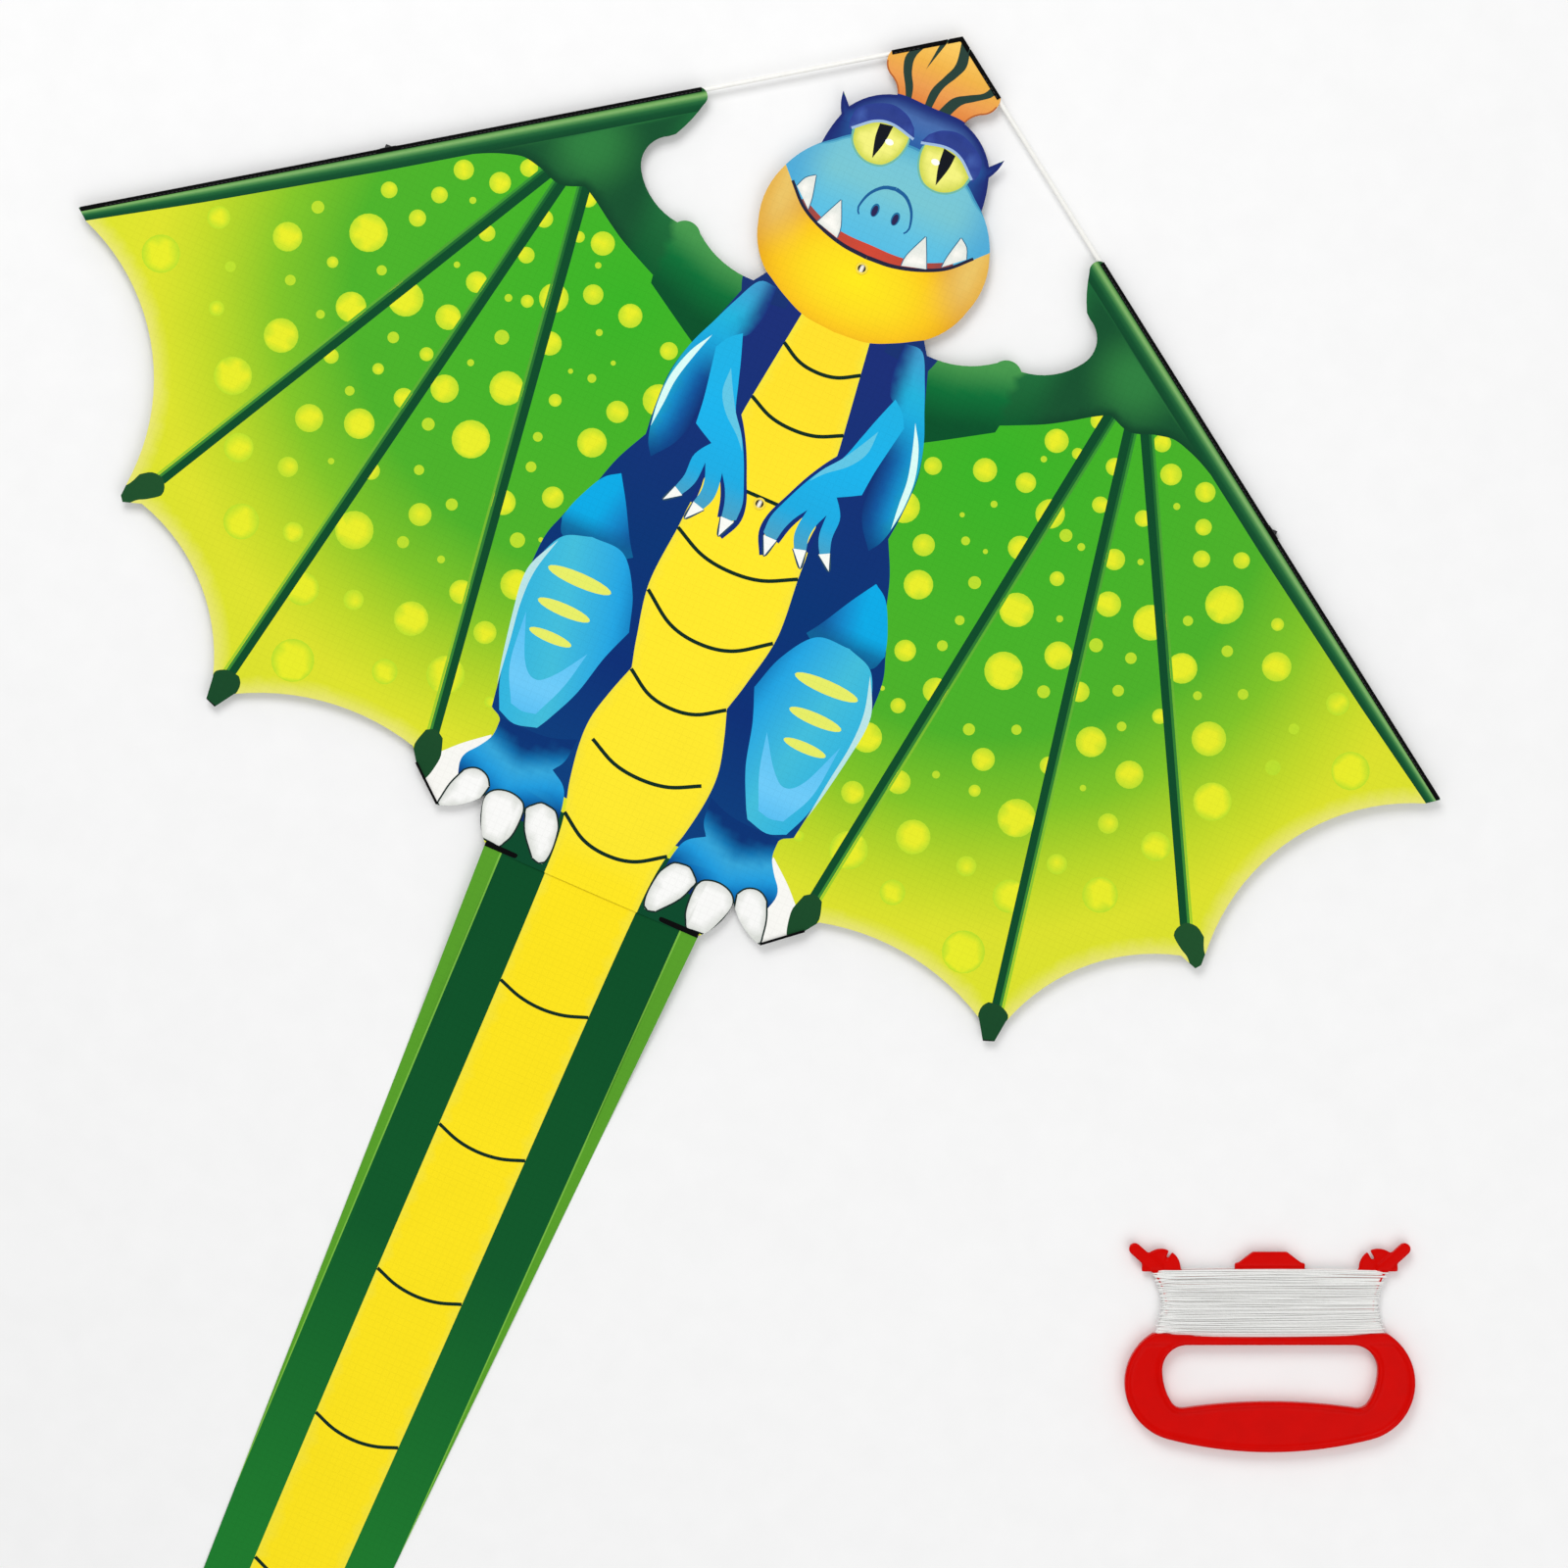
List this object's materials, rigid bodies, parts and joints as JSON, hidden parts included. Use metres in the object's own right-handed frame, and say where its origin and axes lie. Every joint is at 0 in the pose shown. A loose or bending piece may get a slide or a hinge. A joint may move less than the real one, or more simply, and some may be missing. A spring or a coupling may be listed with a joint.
{
  "type": "kite",
  "caption": "Flat single-line dragon-shaped kite with folding wings on fibreglass rods, a folding tail and a line winder.",
  "frame": {"origin": "centre of the lower tow eyelet, on the line that joins the wing tips, in the middle of the sail's thickness", "axes": "+Y along the spine to the nose, +Z out of the printed face, +X to the dragon's left wing tip"},
  "size_m": [1.2591, 2.0899, 0.012],
  "materials": {
    "printed_cloth": "printed polyester, thin plain weave",
    "tail_cloth": "printed polyester, thin plain weave",
    "binding": "black sewn binding",
    "tape": "white woven tape",
    "rod": "white pultruded fibreglass",
    "vinyl": "soft black vinyl",
    "fitting": "moulded black plastic",
    "eyelet": "moulded snap eyelet",
    "winder_plastic": "glossy red moulding",
    "line": "white twisted polyester line"
  },
  "bodies": {
    "spine": {"spine_rod": "rod", "spine_sleeve": "tape", "spine_end_caps": "vinyl", "nose_pocket": "binding", "spine_foot_pocket": "binding", "tow_eyelets": "eyelet", "spreader_saddle": "fitting", "sail_centre": "printed_cloth", "tail_hem": "binding", "tail_tapes": "tape"},
    "wing_left": {"sail_left": "printed_cloth", "leading_edge_rod_left": "rod", "crest_binding_left": "binding", "wing_sleeve_inner_left": "binding", "wing_sleeve_outer_left": "binding", "leading_edge_caps_left": "vinyl", "edge_connector_left": "fitting", "spreader_rod_left": "rod", "corner_hem_left": "binding"},
    "wing_right": {"sail_right": "printed_cloth", "leading_edge_rod_right": "rod", "crest_binding_right": "binding", "wing_sleeve_inner_right": "binding", "wing_sleeve_outer_right": "binding", "leading_edge_caps_right": "vinyl", "edge_connector_right": "fitting", "spreader_rod_right": "rod", "corner_hem_right": "binding"},
    "tail_1": {"tail_panel_1": "tail_cloth"},
    "tail_2": {"tail_panel_2": "tail_cloth"},
    "tail_3": {"tail_panel_3": "tail_cloth"},
    "tail_4": {"tail_panel_4": "tail_cloth"},
    "winder": {"winder": "winder_plastic", "flying_line": "line"}
  },
  "joints": [
    {"name": "wing_left_fold", "type": "hinge", "parent": "spine", "child": "wing_left", "pos_m": [-0.009, 0, 0], "axis": [0, 1, 0], "range_deg": [0, 85]},
    {"name": "wing_right_fold", "type": "hinge", "parent": "spine", "child": "wing_right", "pos_m": [0.009, 0, 0], "axis": [0, -1, 0], "range_deg": [0, 85]},
    {"name": "tail_fold_1", "type": "hinge", "parent": "spine", "child": "tail_1", "pos_m": [0, -0.315, -0.0012], "axis": [-1, 0, 0], "range_deg": [0, 80]},
    {"name": "tail_fold_2", "type": "hinge", "parent": "tail_1", "child": "tail_2", "pos_m": [0, -0.6649, -0.0097], "axis": [1, 0, 0], "range_deg": [0, 160]},
    {"name": "tail_fold_3", "type": "hinge", "parent": "tail_2", "child": "tail_3", "pos_m": [0, -1.0149, -0.0097], "axis": [-1, 0, 0], "range_deg": [0, 160]},
    {"name": "tail_fold_4", "type": "hinge", "parent": "tail_3", "child": "tail_4", "pos_m": [0, -1.3649, -0.0097], "axis": [1, 0, 0], "range_deg": [0, 160]},
    {"name": "winder_lift", "type": "slide", "parent": "spine", "child": "winder", "axis": [0, 0, 1], "range_m": [0, 0.3]}
  ],
  "couplings": [
    {"joint": "tail_fold_2", "follows": "tail_fold_1", "ratio": 2},
    {"joint": "tail_fold_3", "follows": "tail_fold_1", "ratio": 2},
    {"joint": "tail_fold_4", "follows": "tail_fold_1", "ratio": 2}
  ]
}
